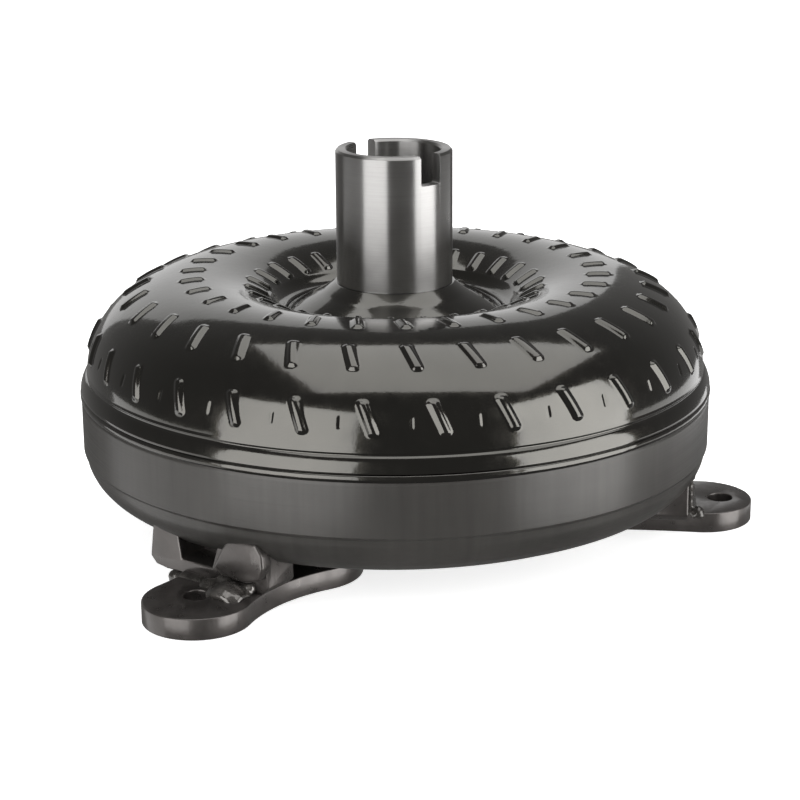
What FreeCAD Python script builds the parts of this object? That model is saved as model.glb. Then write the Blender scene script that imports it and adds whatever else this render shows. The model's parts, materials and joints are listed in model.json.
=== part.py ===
import FreeCAD, Part
import math
import os

# A three-element torque converter of the 10 inch class: a welded case (impeller shell, front cover,
# pump hub, crank pilot and three flexplate mounts) with a turbine and a stator running inside it.
#
# Millimetres. Origin: centre of the flexplate bolt circle, on the plates' mounting face.
# +Z runs along the axis towards the transmission (the pump hub). An azimuth is measured in degrees
# from -Y, turning towards +X.

INCH = 25.4
UP = FreeCAD.Vector(0, 0, 1)
ORIGIN = FreeCAD.Vector(0, 0, 0)

# --- case -----------------------------------------------------------------------------------------
OVERALL_HEIGHT = 156.5
SHELL_THICKNESS = 3.2
SHELL_OVAL = {
    "centre": (81.7, 66.5),
    "half_width": 45.6,
    "half_height": 38.3,
    "end_radius": 34.5,
    "side": 1,
}
SHELL_FOOT_ANGLE = 125.5          # normal angle where the torus meets the valley round the hub
VALLEY_Z = 90.6
LIP_RADIUS = 130.1
SEAM_Z = 60.4
SPIGOT_RADIUS = 123.6
SPIGOT_Z = 52.5
COVER_RADIUS = 130.0
COVER_WALL = 4.4
COVER_EDGE_Z = 35.7               # crisp lower edge of the cylindrical wall
COVER_CORNER = (119.7, 20.4)
COVER_FLOOR_Z = 17.0
COVER_FLOOR_THICKNESS = 4.8
PAD_RADIUS = 82.0                 # raised centre of the cover that the mounting plates lie on

# --- embossed blade tabs on the impeller shell ----------------------------------------------------
BLADE_COUNT = 30
BLADE_PITCH = 360.0 / BLADE_COUNT
# (normal angle at each end, azimuth at each end, half width, height)
TAB_ROWS = [
    ((35.2, 11.7), (6.5, 8.4), 2.4, 1.2),
    ((69.1, 53.4), (2.5, 4.3), 2.6, 1.2),
    ((94.3, 81.7), (1.7, 2.9), 2.4, 1.1),
    ((111.4, 125.0), (-1.5, -2.5), 2.4, 1.2),
]
TICK_ANGLES = (23.5, 18.0)        # small punched ticks between the tabs of the outer row
TICK_AZIMUTH = 2.8
TICK_RADIUS = 1.1
TICK_DEPTH = 0.6

# --- pump hub -------------------------------------------------------------------------------------
HUB_RADIUS = 1.875 * INCH / 2
HUB_BORE = 0.75 * INCH
HUB_BASE_Z = 101.5                # top of the flange, where the ground tube starts
HUB_SPIGOT_RADIUS = 23.0          # the tube's lower end, inside the flange
HUB_SHOULDER = (30.2, 97.4)
HUB_FLANGE_RADIUS = 43.4
HUB_BOTTOM_Z = 86.0
HUB_CHAMFER = 0.8
SLOT_WIDTH = 9.8
SLOT_DEPTH = 12.0
SLOT_AZIMUTH = 39.0

# --- crank pilot ----------------------------------------------------------------------------------
PILOT_RADIUS = 1.703 * INCH / 2
PILOT_NOSE_Z = 1.0
PILOT_SEAT_RADIUS = 28.0
PILOT_FLANGE_RADIUS = 34.0
PILOT_TOP_Z = 19.0
PILOT_RECESS_RADIUS = 14.5
PILOT_RECESS_Z = 6.0
COVER_PAD_INNER_Z = 13.2

# --- flexplate mounts -----------------------------------------------------------------------------
MOUNT_COUNT = 3
MOUNT_AZIMUTH = -33.2
MOUNT_LOBES = ((139.0, 0.9), (128.6, 0.0), (133.5, 0.4))   # outer lobe's radius and azimuth past its hole
UPRIGHT_AZIMUTH = -36.0
PLATE_THICKNESS = 8.4
PLATE_LEAN = 4.6                  # the plates' long axis is turned this far from radial
OUTER_LOBE = 21.0
INNER_LOBE = 24.0
LOBE_SPACING = 62.2
WAIST_RADIUS = 62.5               # hollow of the plate's leading side; its trailing side is nearly straight
BACK_RADIUS = 400.0
BOLT_CIRCLE = 10.75 * INCH
BOLT_HOLE_RADIUS = 5.16           # clearance for a 3/8 inch bolt
UPRIGHT_FACE = 122.3
UPRIGHT_DEPTH = 15.3
BLOCK_STAND_OUT = 3.7
BLOCK_BEVEL = 1.2
WELD_LEG = 5.0
WELD_SPAN = (-20.5, 25.0)         # along the foot of an upright

# --- flow passage ---------------------------------------------------------------------------------
CORE_OVAL = {
    "centre": (89.0, 66.5),
    "half_width": 23.0,
    "half_height": 18.6,
    "end_radius": 16.5,
    "side": 1,
}
CORE_THICKNESS = 1.5
IMPELLER_EDGE_Z = 68.0
BLADE_THICKNESS = 1.2
IMPELLER_CAMBER = ((50.0, -3.5), (85.0, 1.8), (126.0, 7.8))     # (radius, azimuth) down one blade
INLET_RADIUS = 54.5
INLET_Z = 84.5
CORE_INLET_ANGLE = 133.0

# --- turbine --------------------------------------------------------------------------------------
TURBINE_BLADE_COUNT = 29
TURBINE_OVAL = {
    "centre": (81.7, 63.5),
    "half_width": 40.3,
    "half_height": 34.0,
    "end_radius": 30.5,
    "side": -1,
}
TURBINE_CORE = {
    "centre": (89.0, 63.5),
    "half_width": 23.0,
    "half_height": 17.4,
    "end_radius": 15.5,
    "side": -1,
}
TURBINE_THICKNESS = 2.0
TURBINE_EDGE_Z = 62.5
TURBINE_FOOT_ANGLE = 126.0
TURBINE_CAMBER = ((50.0, 22.0), (88.0, 2.0), (124.0, 9.0))
FLANGE_Z = (33.5, 38.5, 40.5)     # hub flange's two faces, then the top of the shell's flange
HUB_BOSS_RADIUS = 30.0
HUB_FLANGE = 46.0
RIVET_COUNT = 12
RIVET_CIRCLE = 38.5
RIVET_RADIUS = 2.4
RIVET_HEAD = 1.6                  # height of a head, and how far it overhangs the shank
INPUT_SPLINE = {"major": 13.0, "minor": 12.0, "teeth": 30}

# --- stator ---------------------------------------------------------------------------------------
VANE_COUNT = 15
STATOR_Z = (51.0, 79.0)
STATOR_RINGS = (40.5, 46.0, 63.2, 65.4)   # hub ring's bore and outside, then the shroud's
CAP_RADIUS = 45.5
CAP_BORE = 19.5
RACE_RADIUS = 27.0
RACE_GAP = 0.3
ROLLER_COUNT = 10
ROLLER_RADIUS = 3.5
RUNNING_FIT = 0.03
CAM_BORE = 31.8
CAM_RAMP = ((0.0, 0.2), (5.0, 0.9), (10.0, 1.2))     # (azimuth past the roller, clearance round it)
STATOR_SPLINE = {"major": 17.6, "minor": 16.5, "teeth": 34}

# --- thrust bearings ------------------------------------------------------------------------------
RACE_THICKNESS = 1.0
NEEDLE_RADIUS = 1.0
NEEDLE_COUNT = 30
NEEDLE_MARGIN = 2.5               # from a race's rim to the needle's end
CAGE_THICKNESS = 1.0
BEARING_HEIGHT = 2 * RACE_THICKNESS + 2 * NEEDLE_RADIUS + 2 * RUNNING_FIT
BEARINGS = {                       # lowest face, inner radius, outer radius
    "front": (PILOT_TOP_Z, 19.0, 32.0),
    "middle": (44.0, 18.0, 29.5),
    "rear": (HUB_BOTTOM_Z - BEARING_HEIGHT, 24.0, 37.0),
}


# --- general helpers ------------------------------------------------------------------------------
def polar(radius, azimuth, z):
    angle = math.radians(azimuth)
    return FreeCAD.Vector(radius * math.sin(angle), -radius * math.cos(angle), z)


def place(shape, azimuth):
    """Turns a shape drawn with its radius along +X to the given azimuth."""
    turned = shape.copy()
    turned.rotate(ORIGIN, UP, azimuth - 90.0)
    return turned


def around(shape, count, first=0.0):
    return [place(shape, first + 360.0 * index / count) for index in range(count)]


def outline(start, *steps):
    """A closed face in the XZ plane. A step is a point, or a (middle, end) pair for an arc."""
    points = [start]
    edges = []
    for step in steps + (start,):
        here = FreeCAD.Vector(points[-1][0], 0, points[-1][1])
        if isinstance(step[0], tuple):
            middle, end = step
            through = FreeCAD.Vector(middle[0], 0, middle[1])
            there = FreeCAD.Vector(end[0], 0, end[1])
            edges.append(Part.Arc(here, through, there).toShape())
            points.append(end)
        elif math.dist(points[-1], step) > 1e-6:
            edges.append(Part.makeLine(here, FreeCAD.Vector(step[0], 0, step[1])))
            points.append(step)
    return Part.Face(Part.Wire(edges))


def revolve(start, *steps):
    return outline(start, *steps).revolve(ORIGIN, UP, 360)


def tube(inner, outer, low, high):
    return revolve((inner, low), (outer, low), (outer, high), (inner, high))


def oval_join(oval):
    """Radius of the flatter arc of a two-radius oval, and the normal angle where it starts."""
    half_width, half_height, end = oval["half_width"], oval["half_height"], oval["end_radius"]
    crest = ((half_width - end) ** 2 + half_height ** 2 - end ** 2) / (2 * (half_height - end))
    return crest, math.degrees(math.atan2(crest - half_height, half_width - end))


def oval_arc(oval, angle):
    """Radial centre, height of the centre above the oval's own, and radius of the arc at an angle."""
    across = oval["centre"][0]
    crest, join = oval_join(oval)
    shift = oval["half_width"] - oval["end_radius"]
    if angle < join - 1e-9:
        return across + shift, 0.0, oval["end_radius"]
    if angle > 180 - join + 1e-9:
        return across - shift, 0.0, oval["end_radius"]
    return across, oval["half_height"] - crest, crest


def oval_point(oval, angle, offset=0.0):
    """Point whose normal points along angle, on the oval or offset outwards from it."""
    across, up, radius = oval_arc(oval, angle)
    reach = radius + offset
    turn = math.radians(angle)
    height = up + reach * math.sin(turn)
    return (across + reach * math.cos(turn), oval["centre"][1] + oval["side"] * height)


def oval_path(oval, first, last, offset=0.0):
    """Arc steps for outline() from one normal angle to another."""
    join = oval_join(oval)[1]
    stops = [angle for angle in (join, 180 - join) if min(first, last) < angle < max(first, last)]
    stops = sorted(stops, reverse=first > last) + [last]
    steps = []
    here = first
    for stop in stops:
        steps.append((oval_point(oval, (here + stop) / 2, offset), oval_point(oval, stop, offset)))
        here = stop
    return steps


def oval_angle_at(oval, z, offset=0.0):
    """Normal angle, on the outer side, where the offset oval passes height z."""
    reach = oval["end_radius"] + offset
    return math.degrees(math.asin(oval["side"] * (z - oval["centre"][1]) / reach))


def capsule(first, last, radius):
    """Round-ended bar lying along the outside of the case; its spheres' poles face sideways."""
    along = last.sub(first)
    sideways = UP.cross(FreeCAD.Vector(first.x, first.y, 0))
    body = Part.makeCylinder(radius, along.Length, first, along)
    return body.multiFuse([Part.makeSphere(radius, end, sideways) for end in (first, last)])


def spline_prism(spline, low, high):
    """Closed toothed bar that cuts a straight-sided internal spline."""
    teeth = spline["teeth"]
    points = []
    for tooth in range(teeth):
        for share, radius in ((-0.28, "minor"), (-0.20, "major"), (0.20, "major"), (0.28, "minor")):
            points.append(polar(spline[radius], 360.0 * (tooth + share) / teeth, low))
    face = Part.Face(Part.makePolygon(points + points[:1]))
    return face.extrude(FreeCAD.Vector(0, 0, high - low))


def curved_sheet(camber, thickness, low, high):
    """Upright sheet that follows an arc through three (radius, azimuth) points."""
    sides = []
    for side in (-0.5, 0.5):
        points = []
        for radius, azimuth in camber:
            shift = math.degrees(side * thickness / radius)
            points.append(polar(radius, azimuth + shift, low))
        sides.append(points)
    near, far = sides
    edges = [
        Part.Arc(*near).toShape(),
        Part.makeLine(near[2], far[2]),
        Part.Arc(far[2], far[1], far[0]).toShape(),
        Part.makeLine(far[0], near[0]),
    ]
    return Part.Face(Part.Wire(edges)).extrude(FreeCAD.Vector(0, 0, high - low))


# --- case -----------------------------------------------------------------------------------------
def tab(row, index):
    """One raised blade tab of the impeller shell."""
    angles, azimuths, half_width, height = row
    radius = (half_width ** 2 + height ** 2) / (2 * height)
    inset = math.degrees(half_width / oval_arc(SHELL_OVAL, angles[0])[2])
    inset = math.copysign(inset, angles[1] - angles[0])
    ends = []
    for angle, azimuth in ((angles[0] + inset, azimuths[0]), (angles[1] - inset, azimuths[1])):
        r, z = oval_point(SHELL_OVAL, angle, height - radius)
        ends.append(polar(r, azimuth + index * BLADE_PITCH, z))
    return capsule(ends[0], ends[1], radius)


def tick(index):
    azimuth = TICK_AZIMUTH + index * BLADE_PITCH
    ends = [oval_point(SHELL_OVAL, angle, TICK_RADIUS - TICK_DEPTH) for angle in TICK_ANGLES]
    low, high = [polar(r, azimuth, z) for r, z in ends]
    return capsule(low, high, TICK_RADIUS)


def impeller_shell():
    foot = oval_point(SHELL_OVAL, SHELL_FOOT_ANGLE)
    bore = HUB_FLANGE_RADIUS + 1.2
    body = revolve(
        (LIP_RADIUS, SEAM_Z),
        (LIP_RADIUS, SEAM_Z + 1.0),
        oval_point(SHELL_OVAL, 0.0),
        *oval_path(SHELL_OVAL, 0.0, SHELL_FOOT_ANGLE),
        ((foot[0] - 0.9, foot[1] - 1.6), (foot[0] - 2.2, foot[1] - 3.2)),
        (bore, VALLEY_Z + 0.2),
        (bore, SPIGOT_Z),
        (COVER_RADIUS - COVER_WALL - 0.8, SPIGOT_Z),
        (COVER_RADIUS - COVER_WALL, SPIGOT_Z + 0.8),
        (COVER_RADIUS - COVER_WALL, SEAM_Z),
    )
    tabs = [tab(row, index) for row in TAB_ROWS for index in range(BLADE_COUNT)]
    body = body.multiFuse(tabs)
    inner_foot = oval_point(SHELL_OVAL, SHELL_FOOT_ANGLE, -SHELL_THICKNESS)
    hollow = revolve(
        (bore - 1.0, SPIGOT_Z - 1.0),
        (SPIGOT_RADIUS, SPIGOT_Z - 1.0),
        (SPIGOT_RADIUS, SEAM_Z + 1.0),
        oval_point(SHELL_OVAL, 0.0, -SHELL_THICKNESS),
        *oval_path(SHELL_OVAL, 0.0, SHELL_FOOT_ANGLE, -SHELL_THICKNESS),
        (inner_foot[0] - 0.8, VALLEY_Z - SHELL_THICKNESS),
        (bore - 1.0, VALLEY_Z - SHELL_THICKNESS),
    )
    ticks = [tick(index) for index in range(BLADE_COUNT)]
    return body.cut(hollow).cut(Part.makeCompound(ticks))


def pump_hub():
    body = revolve(
        (HUB_BORE, HUB_BOTTOM_Z),
        (HUB_SPIGOT_RADIUS, HUB_BOTTOM_Z),
        (HUB_SPIGOT_RADIUS, HUB_BASE_Z),
        (HUB_RADIUS, HUB_BASE_Z),
        (HUB_RADIUS, OVERALL_HEIGHT - HUB_CHAMFER),
        (HUB_RADIUS - HUB_CHAMFER, OVERALL_HEIGHT),
        (HUB_BORE + HUB_CHAMFER, OVERALL_HEIGHT),
        (HUB_BORE, OVERALL_HEIGHT - HUB_CHAMFER),
    )
    slot = Part.makeBox(4 * HUB_RADIUS, SLOT_WIDTH, SLOT_DEPTH + 1)
    slot.translate(FreeCAD.Vector(-2 * HUB_RADIUS, -SLOT_WIDTH / 2, OVERALL_HEIGHT - SLOT_DEPTH))
    return body.cut(place(slot, SLOT_AZIMUTH))


def hub_flange():
    """Cone in two slopes that carries the hub's tube and is welded into the impeller shell."""
    return revolve(
        (HUB_SPIGOT_RADIUS, HUB_BOTTOM_Z),
        (HUB_FLANGE_RADIUS, HUB_BOTTOM_Z),
        (HUB_FLANGE_RADIUS, VALLEY_Z),
        HUB_SHOULDER,
        (HUB_RADIUS + 0.8, HUB_BASE_Z),
        (HUB_SPIGOT_RADIUS, HUB_BASE_Z),
    )


def hub_weld():
    return tube(HUB_FLANGE_RADIUS, HUB_FLANGE_RADIUS + 1.2, HUB_BOTTOM_Z + 1.4, VALLEY_Z - 0.6)


def cover_steps():
    """Outside of the front cover, from the top of its wall to the middle of its underside."""
    return (
        (COVER_RADIUS, COVER_EDGE_Z),
        (COVER_RADIUS - 0.8, COVER_EDGE_Z - 0.7),
        ((126.7, 26.9), COVER_CORNER),
        (112.0, COVER_FLOOR_Z),
        (PAD_RADIUS + 6.0, COVER_FLOOR_Z),
        (PAD_RADIUS, PLATE_THICKNESS),
    )


def front_cover():
    inside = COVER_RADIUS - COVER_WALL
    floor = COVER_FLOOR_Z + COVER_FLOOR_THICKNESS
    return revolve(
        (COVER_RADIUS - 2.8, SEAM_Z),
        (COVER_RADIUS, SEAM_Z - 3.4),
        *cover_steps(),
        (PILOT_SEAT_RADIUS, PLATE_THICKNESS),
        (PILOT_SEAT_RADIUS, COVER_PAD_INNER_Z),
        (PAD_RADIUS - 5.0, COVER_PAD_INNER_Z),
        (PAD_RADIUS + 1.0, floor),
        (110.5, floor),
        ((122.0, 30.2), (inside, COVER_EDGE_Z + 3.0)),
        (inside, SEAM_Z),
    )


def closure_weld():
    return revolve(
        (COVER_RADIUS - 2.8, SEAM_Z),
        (COVER_RADIUS, SEAM_Z - 3.4),
        ((COVER_RADIUS + 0.5, SEAM_Z - 1.7), (COVER_RADIUS, SEAM_Z)),
    )


def crank_pilot():
    return revolve(
        (0.0, PILOT_NOSE_Z),
        (PILOT_RADIUS - 1.0, PILOT_NOSE_Z),
        (PILOT_RADIUS, PILOT_NOSE_Z + 1.0),
        (PILOT_RADIUS, PLATE_THICKNESS),
        (PILOT_SEAT_RADIUS, PLATE_THICKNESS),
        (PILOT_SEAT_RADIUS, COVER_PAD_INNER_Z),
        (PILOT_FLANGE_RADIUS, COVER_PAD_INNER_Z),
        (PILOT_FLANGE_RADIUS, PILOT_TOP_Z),
        (PILOT_RECESS_RADIUS, PILOT_TOP_Z),
        (PILOT_RECESS_RADIUS, PILOT_RECESS_Z),
        (0.0, PILOT_RECESS_Z),
    )


def pilot_weld():
    bead = 1.4
    return revolve(
        (PILOT_SEAT_RADIUS - bead, PLATE_THICKNESS),
        ((PILOT_SEAT_RADIUS, PLATE_THICKNESS - bead), (PILOT_SEAT_RADIUS + bead, PLATE_THICKNESS)),
    )


def anti_balloon_plate():
    return tube(PILOT_FLANGE_RADIUS, 74.0, COVER_PAD_INNER_Z, COVER_PAD_INNER_Z + 4.6)


# --- flexplate mounts -----------------------------------------------------------------------------
def plate_blank():
    """Dog-bone plate along +X: an outer lobe at x = 0 and an inner lobe towards the axis."""
    corners = []
    for way, hollow in ((1, WAIST_RADIUS), (-1, BACK_RADIUS)):
        reach_outer = OUTER_LOBE + hollow
        reach_inner = INNER_LOBE + hollow
        back = (reach_outer ** 2 - reach_inner ** 2 + LOBE_SPACING ** 2) / (2 * LOBE_SPACING)
        side = math.sqrt(reach_outer ** 2 - back ** 2)
        outer = FreeCAD.Vector(-back, way * side, 0).multiply(OUTER_LOBE / reach_outer)
        inner = FreeCAD.Vector(LOBE_SPACING - back, way * side, 0).multiply(INNER_LOBE / reach_inner)
        inner.x -= LOBE_SPACING
        waist = FreeCAD.Vector(-back, way * (side - hollow), 0)
        corners.append((outer, waist, inner))
    (left_outer, left_waist, left_inner), (right_outer, right_waist, right_inner) = corners
    tip = FreeCAD.Vector(OUTER_LOBE, 0, 0)
    tail = FreeCAD.Vector(-LOBE_SPACING - INNER_LOBE, 0, 0)
    edges = [
        Part.Arc(right_outer, tip, left_outer).toShape(),
        Part.Arc(left_outer, left_waist, left_inner).toShape(),
        Part.Arc(left_inner, tail, right_inner).toShape(),
        Part.Arc(right_inner, right_waist, right_outer).toShape(),
    ]
    return Part.Face(Part.Wire(edges)).extrude(FreeCAD.Vector(0, 0, PLATE_THICKNESS))


def mount_plate(index):
    azimuth = MOUNT_AZIMUTH + 360.0 * index / MOUNT_COUNT
    radius, turn = MOUNT_LOBES[index]
    blank = plate_blank()
    blank.rotate(ORIGIN, UP, -PLATE_LEAN)
    blank.translate(FreeCAD.Vector(radius, 0, 0))
    blank.rotate(ORIGIN, UP, turn)
    hole = Part.makeCylinder(BOLT_HOLE_RADIUS, PLATE_THICKNESS + 2, FreeCAD.Vector(BOLT_CIRCLE / 2, 0, -1))
    return place(blank.cut(hole), azimuth)


def upright_profile(points, low_x, depth):
    """Prism from (tangential, z) points, running outwards from low_x."""
    corners = [FreeCAD.Vector(low_x, across, z) for across, z in points]
    return Part.Face(Part.makePolygon(corners + corners[:1])).extrude(FreeCAD.Vector(depth, 0, 0))


def upright_raw():
    """U-shaped stand-off, drawn past the cover, with a bevelled block on one leg."""
    base = PLATE_THICKNESS
    bracket = upright_profile(
        [(-20.7, base), (-26.3, 9.3), (-29.0, 12.2), (-25.0, 42.0), (-17.5, 42.0), (-12.9, 14.0),
         (2.3, 14.0), (11.5, 42.0), (28.5, 42.0), (30.2, 11.4), (27.0, base)],
        UPRIGHT_FACE - UPRIGHT_DEPTH, UPRIGHT_DEPTH)
    block = upright_profile(
        [(6.2, 16.4), (10.6, 14.2), (16.6, 12.7), (22.2, 13.0), (28.6, 15.2), (30.2, 19.8),
         (29.8, 25.4), (26.8, 29.4), (13.6, 28.8), (10.4, 24.4)],
        UPRIGHT_FACE, BLOCK_STAND_OUT)
    front = [edge for edge in block.Edges if edge_at(edge, UPRIGHT_FACE + BLOCK_STAND_OUT)]
    return bracket.fuse(block.makeChamfer(BLOCK_BEVEL, front))


def edge_at(edge, x):
    return all(abs(vertex.X - x) < 1e-6 for vertex in edge.Vertexes)


def mount_upright(index):
    azimuth = UPRIGHT_AZIMUTH + 360.0 * index / MOUNT_COUNT
    top = (COVER_RADIUS, SEAM_Z)
    filled_cover = revolve((0.0, SEAM_Z), top, *cover_steps(), (0.0, PLATE_THICKNESS))
    return place(upright_raw().cut(filled_cover), azimuth)


def mount_weld(index):
    """Fillet along the foot of an upright, on top of its plate."""
    azimuth = UPRIGHT_AZIMUTH + 360.0 * index / MOUNT_COUNT
    face, base = UPRIGHT_FACE, PLATE_THICKNESS
    fillet = outline((face, base), (face + WELD_LEG, base), (face, base + WELD_LEG))
    fillet.translate(FreeCAD.Vector(0, WELD_SPAN[0], 0))
    bead = fillet.extrude(FreeCAD.Vector(0, WELD_SPAN[1] - WELD_SPAN[0], 0))
    return place(bead.cut(upright_raw()), azimuth)


# --- impeller inside ------------------------------------------------------------------------------
def core_ring(oval, edge_z):
    """Half of the hollow core that the blades run round, as one thin shell."""
    low = oval_angle_at(oval, edge_z)
    low_inner = oval_angle_at(oval, edge_z, -CORE_THICKNESS)
    return revolve(
        oval_point(oval, low),
        *oval_path(oval, low, 180 - low),
        oval_point(oval, 180 - low_inner, -CORE_THICKNESS),
        *oval_path(oval, 180 - low_inner, low_inner, -CORE_THICKNESS),
    )


def impeller_blades():
    shell_low = oval_angle_at(SHELL_OVAL, IMPELLER_EDGE_Z, -SHELL_THICKNESS)
    core_low = oval_angle_at(CORE_OVAL, IMPELLER_EDGE_Z)
    passage = revolve(
        oval_point(CORE_OVAL, CORE_INLET_ANGLE),
        *oval_path(CORE_OVAL, CORE_INLET_ANGLE, core_low),
        oval_point(SHELL_OVAL, shell_low, -SHELL_THICKNESS),
        *oval_path(SHELL_OVAL, shell_low, SHELL_FOOT_ANGLE - 3.0, -SHELL_THICKNESS),
        (INLET_RADIUS, oval_point(SHELL_OVAL, SHELL_FOOT_ANGLE - 3.0, -SHELL_THICKNESS)[1]),
        (INLET_RADIUS, INLET_Z),
    )
    sheet = curved_sheet(IMPELLER_CAMBER, BLADE_THICKNESS, IMPELLER_EDGE_Z - 2, OVERALL_HEIGHT)
    blade = sheet.common(passage)
    return Part.makeCompound(around(blade, BLADE_COUNT, 90.0))


# --- turbine --------------------------------------------------------------------------------------
def turbine_shell():
    foot = oval_point(TURBINE_OVAL, TURBINE_FOOT_ANGLE)
    inner_foot = oval_point(TURBINE_OVAL, TURBINE_FOOT_ANGLE, -TURBINE_THICKNESS)
    return revolve(
        oval_point(TURBINE_OVAL, 0.0),
        *oval_path(TURBINE_OVAL, 0.0, TURBINE_FOOT_ANGLE),
        (foot[0] - 3.0, FLANGE_Z[1]),
        (HUB_BOSS_RADIUS, FLANGE_Z[1]),
        (HUB_BOSS_RADIUS, FLANGE_Z[2]),
        (inner_foot[0] - 2.0, FLANGE_Z[2]),
        inner_foot,
        *oval_path(TURBINE_OVAL, TURBINE_FOOT_ANGLE, 0.0, -TURBINE_THICKNESS),
    )


def turbine_blades():
    shell_low = oval_angle_at(TURBINE_OVAL, TURBINE_EDGE_Z, -TURBINE_THICKNESS)
    core_low = oval_angle_at(TURBINE_CORE, TURBINE_EDGE_Z)
    passage = revolve(
        oval_point(TURBINE_CORE, CORE_INLET_ANGLE),
        *oval_path(TURBINE_CORE, CORE_INLET_ANGLE, core_low),
        oval_point(TURBINE_OVAL, shell_low, -TURBINE_THICKNESS),
        *oval_path(TURBINE_OVAL, shell_low, TURBINE_FOOT_ANGLE - 4.0, -TURBINE_THICKNESS),
        (INLET_RADIUS + 2.5, 46.5),
    )
    sheet = curved_sheet(TURBINE_CAMBER, BLADE_THICKNESS, 20.0, TURBINE_EDGE_Z + 2)
    blade = sheet.common(passage)
    return Part.makeCompound(around(blade, TURBINE_BLADE_COUNT, 90.0))


def rivet_holes():
    hole = Part.makeCylinder(RIVET_RADIUS, 20, FreeCAD.Vector(RIVET_CIRCLE, 0, FLANGE_Z[0] - 5.0))
    return Part.makeCompound(around(hole, RIVET_COUNT))


def turbine_hub():
    low = PILOT_TOP_Z + BEARING_HEIGHT
    body = revolve(
        (5.0, low),
        (24.0, low),
        (24.0, FLANGE_Z[0] - 4.0),
        (28.0, FLANGE_Z[0]),
        (HUB_FLANGE, FLANGE_Z[0]),
        (HUB_FLANGE, FLANGE_Z[1]),
        (HUB_BOSS_RADIUS, FLANGE_Z[1]),
        (HUB_BOSS_RADIUS, BEARINGS["middle"][0]),
        (5.0, BEARINGS["middle"][0]),
    )
    body = body.cut(spline_prism(INPUT_SPLINE, low - 1, BEARINGS["middle"][0] + 1))
    return body.cut(rivet_holes())


def turbine_rivets():
    low, high = FLANGE_Z[0], FLANGE_Z[2]
    head = RIVET_RADIUS + RIVET_HEAD
    rivet = revolve(
        (0.0, low - RIVET_HEAD),
        (head, low - RIVET_HEAD),
        (head, low),
        (RIVET_RADIUS, low),
        (RIVET_RADIUS, high),
        (head, high),
        (RIVET_RADIUS, high + RIVET_HEAD),
        (0.0, high + RIVET_HEAD),
    )
    rivet.translate(FreeCAD.Vector(RIVET_CIRCLE, 0, 0))
    return Part.makeCompound(around(rivet, RIVET_COUNT))


def drilled_turbine_shell():
    return turbine_shell().cut(rivet_holes())


# --- stator ---------------------------------------------------------------------------------------
def stator_casting():
    bore, hub, shroud_in, shroud_out = STATOR_RINGS
    low, high = STATOR_Z

    def at(across, z):
        return FreeCAD.Vector(bore, across, z)

    edges = [
        Part.Arc(at(-8.0, low + 4.2), at(-3.6, low + 17.0), at(8.4, high - 2.2)).toShape(),
        Part.makeLine(at(8.4, high - 2.2), at(9.2, high - 2.8)),
        Part.Arc(at(9.2, high - 2.8), at(1.6, low + 14.0), at(-3.2, low + 3.2)).toShape(),
        Part.Arc(at(-3.2, low + 3.2), at(-6.2, low + 1.8), at(-8.0, low + 4.2)).toShape(),
    ]
    bar = Part.Face(Part.Wire(edges)).extrude(FreeCAD.Vector(shroud_out - bore, 0, 0))
    vane = bar.common(tube(hub - 0.4, shroud_in + 0.4, low, high))
    rings = tube(bore, hub, low, high)
    return rings.multiFuse([tube(shroud_in, shroud_out, low, high)] + around(vane, VANE_COUNT))


def roller_azimuth(index):
    return 360.0 * index / ROLLER_COUNT


def stator_cam():
    """Outer race of the one-way clutch, with a ramped pocket for each roller and its spring."""
    body = tube(CAM_BORE, STATOR_RINGS[0], *STATOR_Z)
    centre = RACE_RADIUS + RUNNING_FIT + ROLLER_RADIUS
    height = STATOR_Z[1] - STATOR_Z[0]
    for index in range(ROLLER_COUNT):
        for lag, clearance in CAM_RAMP:
            foot = polar(centre, roller_azimuth(index) + lag, STATOR_Z[0])
            body = body.cut(Part.makeCylinder(ROLLER_RADIUS + clearance, height, foot))
    return body


def clutch_rollers():
    centre = RACE_RADIUS + RUNNING_FIT + ROLLER_RADIUS
    length = STATOR_Z[1] - STATOR_Z[0] - 2.0
    return Part.makeCompound([
        Part.makeCylinder(ROLLER_RADIUS, length, polar(centre, roller_azimuth(index), STATOR_Z[0] + 1.0))
        for index in range(ROLLER_COUNT)])


def clutch_springs():
    """Folded leaf springs that push the rollers up their ramps."""
    leaf, fold, width = 0.9, 1.3, 18.0
    near = [(fold * step, 1.2 if step % 2 else -2.0) for step in range(5)]
    far = [(across, radial + leaf) for across, radial in reversed(near)]
    centre = RACE_RADIUS + RUNNING_FIT + ROLLER_RADIUS + 0.8
    points = [FreeCAD.Vector(centre + radial, across, STATOR_Z[0] + 5.0) for across, radial in near + far]
    spring = Part.Face(Part.makePolygon(points + points[:1])).extrude(FreeCAD.Vector(0, 0, width))
    return Part.makeCompound(around(spring, ROLLER_COUNT, 7.6))


def stator_cap(low, high):
    return tube(CAP_BORE, CAP_RADIUS, low, high)


def stator_inner_race():
    low, high = STATOR_Z[0] + RACE_GAP, STATOR_Z[1] - RACE_GAP
    body = revolve(
        (5.0, low),
        (RACE_RADIUS - 0.6, low),
        (RACE_RADIUS, low + 0.6),
        (RACE_RADIUS, high - 0.6),
        (RACE_RADIUS - 0.6, high),
        (5.0, high),
    )
    return body.cut(spline_prism(STATOR_SPLINE, low - 1, high + 1))


# --- thrust bearings ------------------------------------------------------------------------------
def bearing_race(name, upper):
    low, inner, outer = BEARINGS[name]
    if upper:
        low += BEARING_HEIGHT - RACE_THICKNESS
    return tube(inner, outer, low, low + RACE_THICKNESS)


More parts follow.
